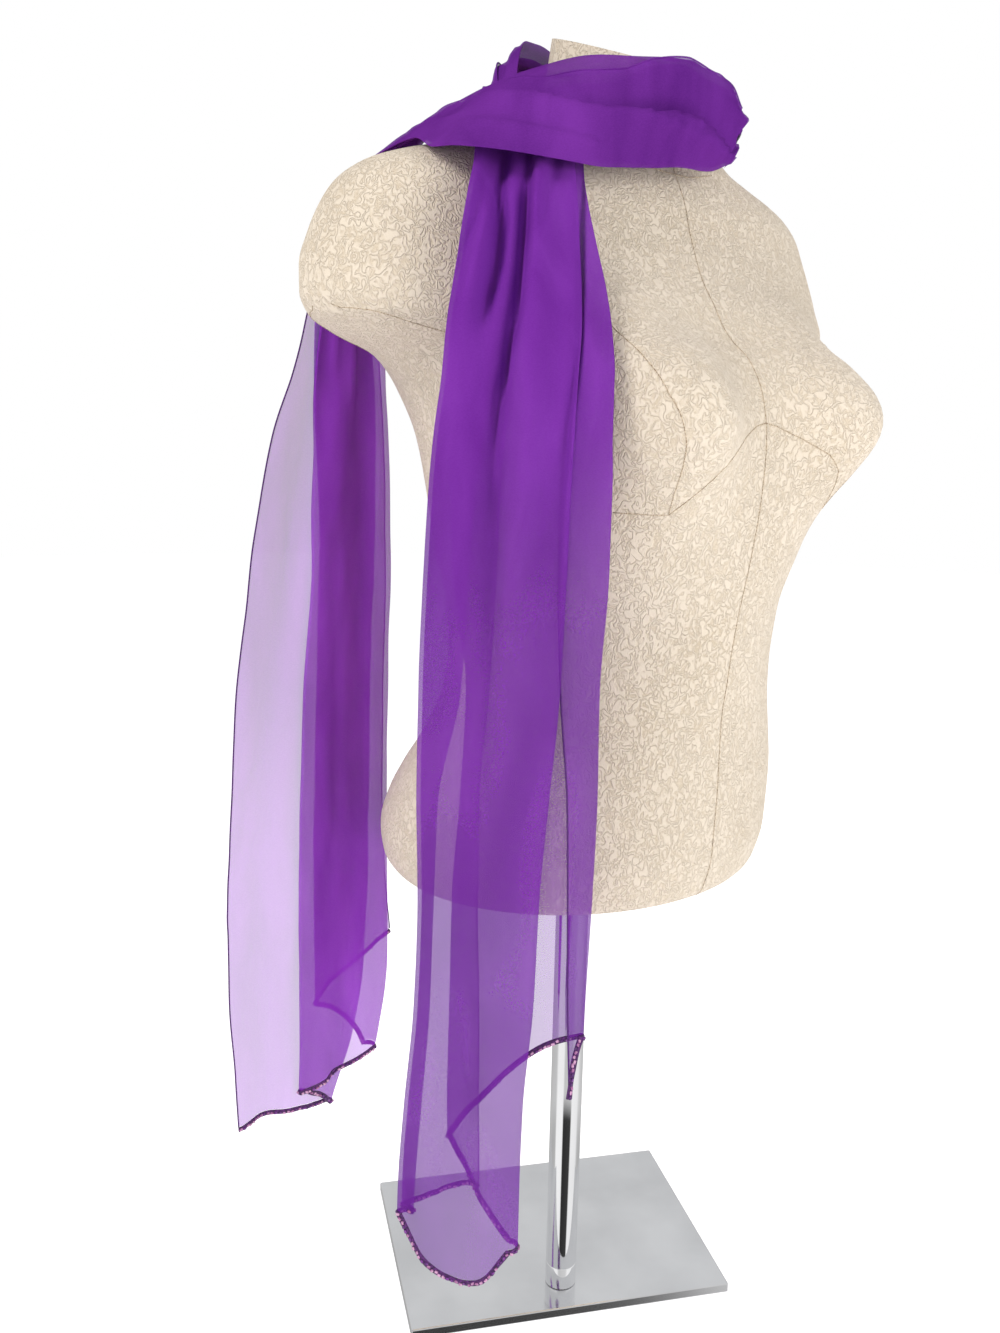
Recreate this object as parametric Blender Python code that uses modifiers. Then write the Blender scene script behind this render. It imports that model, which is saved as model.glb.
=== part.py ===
"""Chiffon scarf worn on a limbless dress form with a chrome stand.

Metres, +Z up. The origin is under the pole, on the floor. The form faces -Y, and +X is its left side.
All tables below are in millimetres.

The scarf is one long sheet with a bead edging on each end. From its front end it hangs down the
form's right chest, goes up and round the back of the neck, crosses the throat, and falls over the
right shoulder to its back end. Each stretch that shows is an object of its own.
"""
import math

import bmesh
import bpy
import numpy as np

MM = 0.001
PART_NAME = "chiffon_scarf_on_dress_form"

# Cloth
CLOTH_WALL = 1.0
SEAM_GAP = 0.3
BEAD_EDGE_WALL = 1.6
BEAD_EDGE_HEIGHT = 4.0
BEAD_EDGE_DROP = 1.6
FOLD_STEPS = 4
RUN_STEPS = 4

# Stand
PLATE_LENGTH = 265.0
PLATE_WIDTH = 192.0
PLATE_THICKNESS = 8.0
PLATE_EDGE_BEVEL = 1.0
PLATE_CENTRE = (33.0, 55.0)
PLATE_TURN = -28.0
POLE_RADIUS = 12.5
SLEEVE_HEIGHT = 19.0
SLEEVE_EDGE_BEVEL = 0.8
TURNED_STEPS = 32

# Form
BODY_STEPS = 44
RINGS_PER_ROW = 2
BUST_ACROSS = 86.0
BUST_HEIGHT = 709.0
BUST_REACH = 56.0
BUST_SPREAD_ACROSS = 48.0
BUST_SPREAD_UP = 52.0
NECK_START = 883.0
NECK_TOP = 940.0
NECK_CENTRE_Y = -28.0
NECK_TOP_SLOPE = 0.34


class Table:
    """Rows of sizes, read between the rows by a smooth curve that doesn't overshoot them."""

    def __init__(self, columns, rows):
        ordered = sorted(rows)
        self.at = np.array([row[0] for row in ordered], float)
        self.columns = {
            name: np.array([row[i] for row in ordered], float) for i, name in enumerate(columns)
        }

    def read(self, name, where):
        keys = self.at
        values = self.columns[name]
        steps = np.diff(keys)
        rises = np.diff(values) / steps
        slopes = np.zeros(len(keys))
        slopes[0] = rises[0]
        slopes[-1] = rises[-1]
        before = rises[:-1]
        after = rises[1:]
        agree = before * after > 0
        total = np.where(agree, before + after, 1.0)
        slopes[1:-1] = np.where(agree, 2 * before * after / total, 0.0)
        where = np.clip(where, keys[0], keys[-1])
        i = np.clip(np.searchsorted(keys, where) - 1, 0, len(steps) - 1)
        f = (where - keys[i]) / steps[i]
        rest = 1 - f
        return (
            values[i] * (1 + 2 * f) * rest**2
            + slopes[i] * steps[i] * f * rest**2
            + values[i + 1] * (3 - 2 * f) * f**2
            - slopes[i + 1] * steps[i] * rest * f**2
        )


# The form's sections, from the flat bottom to the slanted top of the neck
BODY = Table(
    ("height", "half_width", "centre_y", "front", "back"),
    (
        (380, 134, 0, 110, 122),
        (384, 144, 0, 121, 131),
        (394, 150, 1, 128, 136),
        (414, 153, 0, 132, 137),
        (436, 152, -4, 129, 130),
        (460, 148, -11, 123, 119),
        (488, 138, -20, 114, 108),
        (518, 127, -27, 108, 105),
        (548, 120, -29, 110, 110),
        (578, 121, -29, 114, 114),
        (618, 135, -31, 119, 116),
        (658, 142, -29, 125, 117),
        (693, 148, -26, 127, 121),
        (723, 158, -19, 128, 126),
        (744, 174, -10, 126, 121),
        (756, 202, 0, 123, 115),
        (765, 220, 3, 119, 110),
        (778, 227, 4, 113, 106),
        (794, 227, 5, 104, 103),
        (812, 222, 4, 95, 100),
        (828, 215, 3, 88, 97),
        (842, 206, 1, 82, 92),
        (854, 190, -2, 74, 84),
        (862, 168, -6, 66, 76),
        (868, 140, -12, 58, 68),
        (875, 104, -18, 53, 62),
        (886, 76, -22, 51, 58),
        (900, 62, -25, 50, 55),
        (923, 54, -26, 49, 52),
        (940, 52, -27, 49, 50),
    ),
)

# Where the folds of each hanging tail lie. "across" runs to the right of someone who faces the
# tail's outer side, "near" and "far" are how far its innermost layer stands out from the pole's
# axis at its first and last across position, and "layer" is the step from one layer to the next.
FRONT_TAIL_TURN = 45.0
FRONT_TAIL_FOLDS = ("flap_edge", "right_fold", "inner_left", "inner_right", "left_fold", "free_edge")
FRONT_TAIL_LEVELS = (1, 0, 1, 2, 3)
FRONT_TAIL = Table(
    ("height", "near", "far", "layer") + FRONT_TAIL_FOLDS,
    (
        (864, 143, 114, 3.0, -15, -8, -61, -20, -69, -42),
        (846, 156, 128, 3.2, -13, -7, -61, -19, -69, -42),
        (828, 173, 138, 3.5, -12, -4, -61, -18, -70, -42),
        (803, 182, 146, 3.6, -9, 2, -63, -16, -73, -43),
        (778, 188, 161, 4.0, -6, 8, -64, -14, -76, -44),
        (753, 191, 180, 4.0, -5, 12, -65, -13, -79, -45),
        (728, 192, 193, 4.0, -6, 14, -66, -14, -81, -46),
        (698, 192, 196, 4.0, -8, 14, -66, -16, -85, -47),
        (668, 191, 194, 4.0, -9, 15, -66, -17, -88, -48),
        (618, 189, 192, 4.0, -9, 15, -66, -17, -91, -50),
        (548, 187, 190, 4.0, -7, 12, -67, -16, -94, -53),
        (478, 185, 188, 4.0, -4, 13, -71, -17, -95, -58),
        (418, 184, 186, 4.2, -3, 12, -74, -20, -94, -58),
        (348, 183, 185, 4.4, -1, 10, -75, -22, -96, -56),
        (278, 182, 184, 4.6, 2, 9, -76, -27, -102, -55),
        (218, 181, 183, 4.8, 3, 9, -74, -28, -106, -54),
        (148, 180, 182, 5.0, 3, 9, -72, -28, -107, -54),
    ),
)
FRONT_HEM = (286, 329, 255, 182, 204, 225)
FRONT_HEM_SAG = (4, 14, -4, -34, 4)
FRONT_RIDGES = Table(
    ("height", "left_ridge", "left_rise", "middle_ridge", "middle_rise"),
    (
        (864, -62, 1, -32, 1),
        (838, -63, 3, -32, 4),
        (798, -67, 6, -28, 6),
        (748, -71, 6, -30, 6),
        (678, -77, 6, -36, 7),
        (578, -82, 4, -40, 4),
        (428, -84, 3, -45, 3),
        (278, -88, 3, -48, 4),
        (148, -90, 4, -50, 5),
    ),
)
FRONT_RIDGE_WIDTH = 10.0

BACK_TAIL_TURN = 180.0
BACK_TAIL_FOLDS = ("outer_edge", "first_fold", "left_fold", "right_fold", "hidden_fold", "inner_edge")
BACK_TAIL_LEVELS = (2, 1, 0, 3, 4)
BACK_TAIL = Table(
    ("height", "near", "far", "layer") + BACK_TAIL_FOLDS,
    (
        (866, 56, 48, 3.6, 143, 118, 134, 107, 134, 101),
        (854, 70, 64, 3.8, 147, 119, 138, 107, 138, 101),
        (828, 94, 88, 3.8, 155, 119, 145, 107, 145, 101),
        (798, 104, 99, 3.8, 160, 119, 150, 106, 149, 100),
        (768, 106, 104, 4.0, 166, 119, 154, 106, 152, 99),
        (733, 105, 105, 4.0, 176, 119, 158, 105, 152, 98),
        (692, 104, 105, 4.0, 192, 119, 158, 106, 152, 96),
        (638, 103, 105, 4.0, 205, 120, 163, 108, 153, 95),
        (578, 102, 105, 4.0, 215, 122, 167, 110, 155, 96),
        (518, 102, 104, 4.0, 225, 125, 174, 112, 158, 97),
        (443, 101, 104, 4.2, 231, 128, 178, 114, 160, 99),
        (368, 101, 103, 4.4, 236, 131, 181, 116, 162, 97),
        (288, 100, 103, 4.6, 237, 138, 182, 121, 162, 90),
        (228, 100, 102, 4.8, 234, 148, 183, 128, 162, 88),
        (178, 100, 102, 5.0, 232, 161, 184, 132, 162, 88),
    ),
)
BACK_HEM = (186, 179, 201, 217, 263, 304)
BACK_HEM_SAG = (3, 2, -3, 6, 4)
BACK_RIDGES = Table(
    ("height", "left_ridge", "left_rise", "middle_ridge", "middle_rise"),
    (
        (866, 116, 0, 144, 0),
        (828, 116, 3, 144, 3),
        (768, 118, 6, 146, 6),
        (678, 120, 6, 160, 7),
        (578, 124, 5, 185, 6),
        (428, 130, 4, 205, 6),
        (298, 140, 4, 210, 7),
        (178, 150, 5, 208, 8),
    ),
)
BACK_RIDGE_WIDTH = 10.0

# The two neck stretches, each by its lower and upper edge from one end to the other
STRETCH_COLUMNS = ("along", "low_x", "low_y", "low_z", "high_x", "high_y", "high_z", "bulge")
NECK_FRONT = Table(
    STRETCH_COLUMNS,
    (
        (0, 34, -78, 866, 62, -70, 915, 5),
        (13, 4, -90, 859, 28, -84, 921, 6),
        (26, -24, -96, 857, -14, -88, 923, 8),
        (39, -58, -98, 852, -48, -80, 921, 9),
        (52, -104, -98, 847, -76, -64, 919, 10),
        (65, -148, -88, 849, -92, -41, 914, 8),
        (75, -176, -63, 852, -100, -18, 910, 5),
        (80, -173, -42, 855, -103, -2, 906, 4),
        (84, -168, -20, 864, -105, 12, 901, 3),
        (91, -155, 24, 867, -106, 36, 891, 3),
        (96, -148, 60, 867, -103, 68, 879, 3),
        (100, -146, 100, 856, -101, 104, 861, 3),
    ),
)
NECK_FRONT_PLEATS = (
    # (where across it starts, where it ends, rise, width), across from the lower to the upper edge
    (0.16, 0.30, 3.0, 0.07),
    (0.40, 0.52, 3.0, 0.08),
    (0.66, 0.70, 2.5, 0.08),
    (0.88, 0.86, 2.5, 0.06),
)
NECK_BACK = Table(
    STRETCH_COLUMNS,
    (
        (0, -134, -42, 872, -86, -60, 882, 2),
        (12, -118, -12, 875, -80, -36, 893, 2),
        (25, -92, 22, 884, -74, -4, 912, 3),
        (38, -70, 50, 888, -43, 28, 952, 5),
        (51, -26, 72, 887, -10, 50, 962, 5),
        (63, 30, 66, 885, 26, 48, 948, 5),
        (74, 76, 38, 890, 62, 24, 934, 5),
        (85, 88, -6, 890, 76, -16, 932, 5),
        (94, 72, -56, 882, 80, -44, 926, 5),
        (100, 36, -77, 867, 64, -68, 915, 5),
    ),
)
NECK_BACK_PLEATS = (
    (0.24, 0.16, 3.0, 0.07),
    (0.46, 0.40, 3.0, 0.08),
    (0.70, 0.66, 2.5, 0.08),
    (0.84, 0.88, 2.5, 0.06),
)
STRETCH_STEPS_ALONG = 24
STRETCH_STEPS_ACROSS = 13
STRETCH_HEART = (-20.0, -24.0, 836.0)


def start_empty():
    """Remove what the file opened with, and return one collection for the part."""
    for thing in list(bpy.data.objects):
        bpy.data.objects.remove(thing, do_unlink=True)
    collection = bpy.data.collections.new(PART_NAME)
    bpy.context.scene.collection.children.link(collection)
    return collection


def plain_material(name, colour, roughness, metallic=0.0):
    """A Principled material of one colour."""
    material = bpy.data.materials.new(name)
    material.use_nodes = True
    shader = material.node_tree.nodes["Principled BSDF"]
    shader.inputs["Base Color"].default_value = (*colour, 1.0)
    shader.inputs["Roughness"].default_value = roughness
    shader.inputs["Metallic"].default_value = metallic
    return material


def add_mesh_object(name, bm, material, collection, smooth=True):
    """Make an object from a bmesh given in millimetres."""
    bmesh.ops.scale(bm, vec=(MM, MM, MM), verts=bm.verts)
    mesh = bpy.data.meshes.new(name)
    bm.to_mesh(mesh)
    bm.free()
    for face in mesh.polygons:
        face.use_smooth = smooth
    mesh.materials.append(material)
    thing = bpy.data.objects.new(name, mesh)
    collection.objects.link(thing)
    return thing


def add_cloth_object(name, surface, wall, material, collection):
    """Make a wall of cloth from an array of points, one row of it for each height or station."""
    rows, across = surface.shape[:2]
    bm = bmesh.new()
    bmesh.ops.create_grid(bm, x_segments=across - 1, y_segments=rows - 1, size=0.5)
    for vert in bm.verts:
        column = round((vert.co.x + 0.5) * (across - 1))
        row = round((vert.co.y + 0.5) * (rows - 1))
        vert.co = surface[row, column]
    thing = add_mesh_object(name, bm, material, collection)
    thickness = thing.modifiers.new("wall", "SOLIDIFY")
    thickness.thickness = wall * MM
    thickness.offset = 0.0
    return thing


def from_face(turn, across, outward, height):
    """Turn a place on a hanging face into x, y, z."""
    angle = math.radians(turn)
    x = across * math.cos(angle) - outward * math.sin(angle)
    y = -across * math.sin(angle) - outward * math.cos(angle)
    return np.stack([x, y, height], axis=-1)


def fold_stations(fold_count):
    """The steps along a folded section: the runs between folds, and the turn at each fold."""
    stations = []
    runs = fold_count - 1
    for run in range(runs):
        first = 0 if run == 0 else 1
        last = RUN_STEPS if run == runs - 1 else RUN_STEPS - 1
        stations += [("run", run, step / RUN_STEPS) for step in range(first, last + 1)]
        if run < runs - 1:
            stations += [("turn", run, step / FOLD_STEPS) for step in range(FOLD_STEPS + 1)]
    return stations


def folded_point(station, table, folds, levels, heights):
    """Across position and depth of one station at each height, before the cloth stands out."""
    kind, run, fraction = station
    layer = table.read("layer", heights)
    start = table.read(folds[run], heights)
    end = table.read(folds[run + 1], heights)
    side = np.sign(end - start)
    radius_after = 0.0
    if run + 1 < len(levels):
        radius_after = abs(levels[run + 1] - levels[run]) * layer / 2
    if kind == "turn":
        angle = math.pi * (fraction - 0.5)
        across = end - side * radius_after * (1 - math.cos(angle))
        middle = (levels[run] + levels[run + 1]) / 2
        half = (levels[run + 1] - levels[run]) / 2
        return across, (middle + half * math.sin(angle)) * layer
    radius_before = 0.0
    if run > 0:
        radius_before = abs(levels[run] - levels[run - 1]) * layer / 2
    begin = start + side * radius_before
    across = begin + (end - side * radius_after - begin) * fraction
    return across, levels[run] * layer


def hem_height(station, hem, sag):
    """Height of the cloth's end at one station."""
    kind, run, fraction = station
    if kind == "turn":
        return hem[run + 1]
    return hem[run] + (hem[run + 1] - hem[run]) * fraction + 4 * sag[run] * fraction * (1 - fraction)


def tail_line(station, tail, heights):
    """The points of one station of a tail at the given heights."""
    table, folds, levels = tail["table"], tail["folds"], tail["levels"]
    across, depth = folded_point(station, table, folds, levels, heights)
    edges = [table.read(name, heights) for name in folds]
    lowest = np.min(edges, axis=0)
    highest = np.max(edges, axis=0)
    place = (across - lowest) / (highest - lowest)
    near = table.read("near", heights)
    stand = near + (table.read("far", heights) - near) * place
    ridges = tail["ridges"]
    rise = 0.0
    for ridge in ("left", "middle"):
        offset = (across - ridges.read(ridge + "_ridge", heights)) / tail["ridge_width"]
        rise = rise + ridges.read(ridge + "_rise", heights) * np.exp(-(offset**2))
    return from_face(tail["turn"], across, stand + depth + rise, heights)


def tail_surface(tail):
    """The middle surface of a hanging tail, from its top down to its hem."""
    lines = []
    for station in fold_stations(len(tail["folds"])):
        bottom = hem_height(station, tail["hem"], tail["sag"])
        lower = np.linspace(TAIL_LEVELS[-1], bottom, TAIL_HEM_ROWS)
        heights = np.concatenate([TAIL_LEVELS[:-1], lower])
        lines.append(tail_line(station, tail, heights))
    return np.stack(lines, axis=1)


def edge_surface(tail):
    """The middle surface of the bead edging, a strip that follows a tail's hem just below it."""
    lines = []
    for station in fold_stations(len(tail["folds"])):
        top = hem_height(station, tail["hem"], tail["sag"]) - BEAD_EDGE_DROP
        lines.append(tail_line(station, tail, np.array([top, top - BEAD_EDGE_HEIGHT])))
    return np.stack(lines, axis=1)


def stretch_surface(table, pleats):
    """The middle surface of a neck stretch, its pleats running along it."""
    along = np.linspace(0, 100, STRETCH_STEPS_ALONG + 1)
    low = np.stack([table.read(name, along) for name in STRETCH_COLUMNS[1:4]], axis=-1)
    high = np.stack([table.read(name, along) for name in STRETCH_COLUMNS[4:7]], axis=-1)
    bulge = table.read("bulge", along)
    outward = (low + high) / 2 - np.array(STRETCH_HEART)
    outward /= np.linalg.norm(outward, axis=-1, keepdims=True)
    columns = []
    for across in np.linspace(0, 1, STRETCH_STEPS_ACROSS + 1):
        rise = bulge * 4 * across * (1 - across)
        for start, end, height, width in pleats:
            middle = start + (end - start) * along / 100
            rise = rise + height * np.exp(-(((across - middle) / width) ** 2))
        columns.append(low + (high - low) * across + outward * rise[:, None])
    return np.stack(columns, axis=1)


FRONT = {
    "turn": FRONT_TAIL_TURN,
    "table": FRONT_TAIL,
    "folds": FRONT_TAIL_FOLDS,
    "levels": FRONT_TAIL_LEVELS,
    "hem": FRONT_HEM,
    "sag": FRONT_HEM_SAG,
    "ridges": FRONT_RIDGES,
    "ridge_width": FRONT_RIDGE_WIDTH,
}
BACK = {
    "turn": BACK_TAIL_TURN,
    "table": BACK_TAIL,
    "folds": BACK_TAIL_FOLDS,
    "levels": BACK_TAIL_LEVELS,
    "hem": BACK_HEM,
    "sag": BACK_HEM_SAG,
    "ridges": BACK_RIDGES,
    "ridge_width": BACK_RIDGE_WIDTH,
}
# Heights of the level rows of both tails, then the rows from the last one down to the hem
TAIL_LEVELS = (864, 850, 836, 822, 808, 793, 777, 760, 740, 715, 690, 650, 600, 540, 470, 400)
TAIL_HEM_ROWS = 5


def body_ring(height):
    """One level section of the form, with the bust and the slant of the neck's top."""
    half_width, centre_y, front, back = (
        float(BODY.read(name, np.array([float(height)]))[0])
        for name in ("half_width", "centre_y", "front", "back")
    )
    angle = np.linspace(0, 2 * math.pi, BODY_STEPS, endpoint=False)
    x = half_width * np.cos(angle)
    depth = np.where(np.sin(angle) < 0, front, back)
    y = centre_y + depth * np.sin(angle)
    facing = np.clip(-3 * np.sin(angle), 0, 1)
    up = ((height - BUST_HEIGHT) / BUST_SPREAD_UP) ** 2
    for side in (-1, 1):
        aside = ((x - side * BUST_ACROSS) / BUST_SPREAD_ACROSS) ** 2
        y = y - BUST_REACH * np.exp(-aside - up) * facing
    slant = min(max((height - NECK_START) / (NECK_TOP - NECK_START), 0.0), 1.0)
    slant = slant * slant * (3 - 2 * slant)
    z = height + slant * NECK_TOP_SLOPE * (y - NECK_CENTRE_Y)
    return np.stack([x, y, z], axis=-1)


def add_form_body(material, collection):
    """The linen-covered body: one loft through level sections, closed flat at both ends."""
    rows = BODY.at
    heights = [rows[0]]
    for low, high in zip(rows[:-1], rows[1:]):
        heights += [low + (high - low) * (step + 1) / RINGS_PER_ROW for step in range(RINGS_PER_ROW)]
    bm = bmesh.new()
    rings = [[bm.verts.new(place) for place in body_ring(height)] for height in heights]
    for lower, upper in zip(rings[:-1], rings[1:]):
        for i in range(BODY_STEPS):
            after = (i + 1) % BODY_STEPS
            bm.faces.new((lower[i], lower[after], upper[after], upper[i]))
    bm.faces.new(list(reversed(rings[0])))
    bm.faces.new(rings[-1])
    return add_mesh_object("form_body", bm, material, collection)


def add_turned(name, radius, bottom, top, bevel, material, collection):
    """A round bar that stands on the pole's axis."""
    bm = bmesh.new()
    bmesh.ops.create_cone(
        bm,
        cap_ends=True,
        segments=TURNED_STEPS,
        radius1=radius,
        radius2=radius,
        depth=top - bottom,
    )
    thing = add_mesh_object(name, bm, material, collection)
    thing.location.z = (bottom + top) / 2 * MM
    if bevel:
        add_edge_bevel(thing, bevel)
    return thing


def add_edge_bevel(thing, width):
    """Round the sharp edges of a hard piece."""
    rounding = thing.modifiers.new("edges", "BEVEL")
    rounding.width = width * MM
    rounding.segments = 2
    rounding.limit_method = "ANGLE"


def add_plate(material, collection):
    """The flat foot that the pole stands in."""
    bm = bmesh.new()
    bmesh.ops.create_cube(bm, size=1.0)
    bmesh.ops.scale(bm, vec=(PLATE_LENGTH, PLATE_WIDTH, PLATE_THICKNESS), verts=bm.verts)
    plate = add_mesh_object("base_plate", bm, material, collection, smooth=False)
    plate.location = (PLATE_CENTRE[0] * MM, PLATE_CENTRE[1] * MM, PLATE_THICKNESS / 2 * MM)
    plate.rotation_euler.z = math.radians(PLATE_TURN)
    add_edge_bevel(plate, PLATE_EDGE_BEVEL)
    return plate


def build():
    collection = start_empty()
    chiffon = plain_material("chiffon", (0.20, 0.05, 0.38), 0.6)
    beads = plain_material("bead_edging", (0.11, 0.02, 0.20), 0.25)
    linen = plain_material("linen", (0.78, 0.69, 0.56), 0.85)
    chrome = plain_material("chrome", (0.80, 0.80, 0.81), 0.08, metallic=1.0)

    front = tail_surface(FRONT)
    back = tail_surface(BACK)
    add_cloth_object("scarf_front_tail", front, CLOTH_WALL, chiffon, collection)
    add_cloth_object("scarf_back_tail", back, CLOTH_WALL, chiffon, collection)
    neck_front = stretch_surface(NECK_FRONT, NECK_FRONT_PLEATS)
    neck_back = stretch_surface(NECK_BACK, NECK_BACK_PLEATS)
    add_cloth_object("scarf_neck_front", neck_front, CLOTH_WALL, chiffon, collection)
    add_cloth_object("scarf_neck_back", neck_back, CLOTH_WALL, chiffon, collection)
    add_cloth_object("front_bead_edge", edge_surface(FRONT), BEAD_EDGE_WALL, beads, collection)
    add_cloth_object("back_bead_edge", edge_surface(BACK), BEAD_EDGE_WALL, beads, collection)

    add_form_body(linen, collection)
    body_bottom = float(BODY.at[0])
    sleeve_bottom = PLATE_THICKNESS + SEAM_GAP
    sleeve_top = sleeve_bottom + SLEEVE_HEIGHT
    pole_bottom = sleeve_top + SEAM_GAP
    pole_top = body_bottom - SEAM_GAP
    add_turned("pole", POLE_RADIUS, pole_bottom, pole_top, 0.0, chrome, collection)
    add_turned(
        "pole_sleeve", POLE_RADIUS, sleeve_bottom, sleeve_top, SLEEVE_EDGE_BEVEL, chrome, collection
    )
    add_plate(chrome, collection)


build()
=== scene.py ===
"""Looks of a purple chiffon scarf worn on a limbless dress form with a chrome stand.

Metres, +Z up. The origin is under the pole, on the floor, and the form faces -Y.
The tables below are in millimetres. Each stretch of the scarf is one thin sheet folded along
its length; the look comes from how many of its layers lie over each other, and on the neck and back tail also from
painted shade and painted light in the cloth's colour.
"""
import math

import bmesh
import bpy
import numpy as np
from mathutils import Matrix, Vector
from mathutils.bvhtree import BVHTree


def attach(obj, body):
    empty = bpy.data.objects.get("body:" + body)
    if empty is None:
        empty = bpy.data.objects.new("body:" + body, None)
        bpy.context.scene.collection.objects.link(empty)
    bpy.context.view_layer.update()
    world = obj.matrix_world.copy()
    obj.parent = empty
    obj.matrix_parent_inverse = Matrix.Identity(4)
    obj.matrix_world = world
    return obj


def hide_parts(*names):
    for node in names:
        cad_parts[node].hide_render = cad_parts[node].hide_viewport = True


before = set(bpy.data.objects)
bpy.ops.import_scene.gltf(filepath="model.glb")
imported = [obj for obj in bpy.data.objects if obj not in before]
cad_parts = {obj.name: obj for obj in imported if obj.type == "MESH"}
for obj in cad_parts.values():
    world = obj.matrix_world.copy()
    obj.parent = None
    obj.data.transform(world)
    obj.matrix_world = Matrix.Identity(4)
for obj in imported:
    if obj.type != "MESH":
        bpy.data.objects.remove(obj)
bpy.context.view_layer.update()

MM = 0.001
scene = bpy.context.scene

# ---------------------------------------------------------------- camera
PITCH, ROLL, TURN = math.radians(11.1), math.radians(1.11), math.radians(-3.89)


def from_view(v):
    """A place given as (across, away, up) for someone in front of the form's right shoulder."""
    half = math.sqrt(0.5)
    return Vector(((v[0] + v[1]) * half, (v[1] - v[0]) * half, v[2]))


ahead = Vector((math.sin(TURN) * math.cos(PITCH), math.cos(TURN) * math.cos(PITCH), -math.sin(PITCH)))
aside = ahead.cross(Vector((0, 0, 1))).normalized()
above = aside.cross(ahead)
right = from_view(aside * math.cos(ROLL) + above * math.sin(ROLL))
up = from_view(above * math.cos(ROLL) - aside * math.sin(ROLL))
back = -from_view(ahead)
place = from_view((0, -0.880, 0.697))
camera_data = bpy.data.cameras.new("camera")
camera_data.sensor_width = 36
camera_data.lens = 36 * 1200 / 1333
camera_data.clip_start = 0.02
camera = bpy.data.objects.new("camera", camera_data)
camera.matrix_world = Matrix(
    (
        (right.x, up.x, back.x, place.x),
        (right.y, up.y, back.y, place.y),
        (right.z, up.z, back.z, place.z),
        (0, 0, 0, 1),
    )
)
scene.collection.objects.link(camera)
scene.camera = camera


# ---------------------------------------------------------------- tables
class Table:
    """Rows of sizes, read between the rows by a smooth curve that doesn't overshoot them."""

    def __init__(self, columns, rows):
        ordered = sorted(rows)
        self.at = np.array([row[0] for row in ordered], float)
        self.columns = {
            name: np.array([row[i] for row in ordered], float) for i, name in enumerate(columns)
        }

    def read(self, name, where):
        keys = self.at
        values = self.columns[name]
        steps = np.diff(keys)
        rises = np.diff(values) / steps
        slopes = np.zeros(len(keys))
        slopes[0] = rises[0]
        slopes[-1] = rises[-1]
        before = rises[:-1]
        after = rises[1:]
        agree = before * after > 0
        total = np.where(agree, before + after, 1.0)
        slopes[1:-1] = np.where(agree, 2 * before * after / total, 0.0)
        where = np.clip(where, keys[0], keys[-1])
        i = np.clip(np.searchsorted(keys, where) - 1, 0, len(steps) - 1)
        f = (where - keys[i]) / steps[i]
        rest = 1 - f
        return (
            values[i] * (1 + 2 * f) * rest**2
            + slopes[i] * steps[i] * f * rest**2
            + values[i + 1] * (3 - 2 * f) * f**2
            - slopes[i + 1] * steps[i] * rest * f**2
        )


BODY = Table(
    ("height", "half_width", "centre_y", "front", "back"),
    (
        (380, 134, 0, 110, 122),
        (384, 144, 0, 121, 131),
        (394, 150, 1, 128, 136),
        (414, 153, 0, 132, 137),
        (436, 152, -4, 129, 130),
        (460, 148, -11, 123, 119),
        (488, 138, -20, 114, 108),
        (518, 127, -27, 108, 105),
        (548, 120, -29, 110, 110),
        (578, 121, -29, 114, 114),
        (618, 135, -31, 119, 116),
        (658, 142, -29, 125, 117),
        (693, 148, -26, 127, 121),
        (723, 158, -19, 128, 126),
        (744, 174, -10, 126, 121),
        (756, 202, 0, 123, 115),
        (765, 220, 3, 119, 110),
        (778, 227, 4, 113, 106),
        (794, 227, 5, 104, 103),
        (812, 222, 4, 95, 100),
        (828, 215, 3, 88, 97),
        (842, 206, 1, 82, 92),
        (854, 190, -2, 74, 84),
        (862, 168, -6, 66, 76),
        (868, 140, -12, 58, 68),
        (875, 104, -18, 53, 62),
        (886, 76, -22, 51, 58),
        (900, 62, -25, 50, 55),
        (923, 54, -26, 49, 52),
        (940, 52, -27, 49, 50),
    ),
)
BODY_SIDES = 128
BODY_RINGS_PER_ROW = 5
BUST_ACROSS, BUST_HEIGHT, BUST_REACH = 86.0, 709.0, 56.0
BUST_SPREAD_ACROSS, BUST_SPREAD_UP = 48.0, 52.0
NECK_START, NECK_TOP, NECK_CENTRE_Y, NECK_TOP_SLOPE = 883.0, 940.0, -28.0, 0.34

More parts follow.
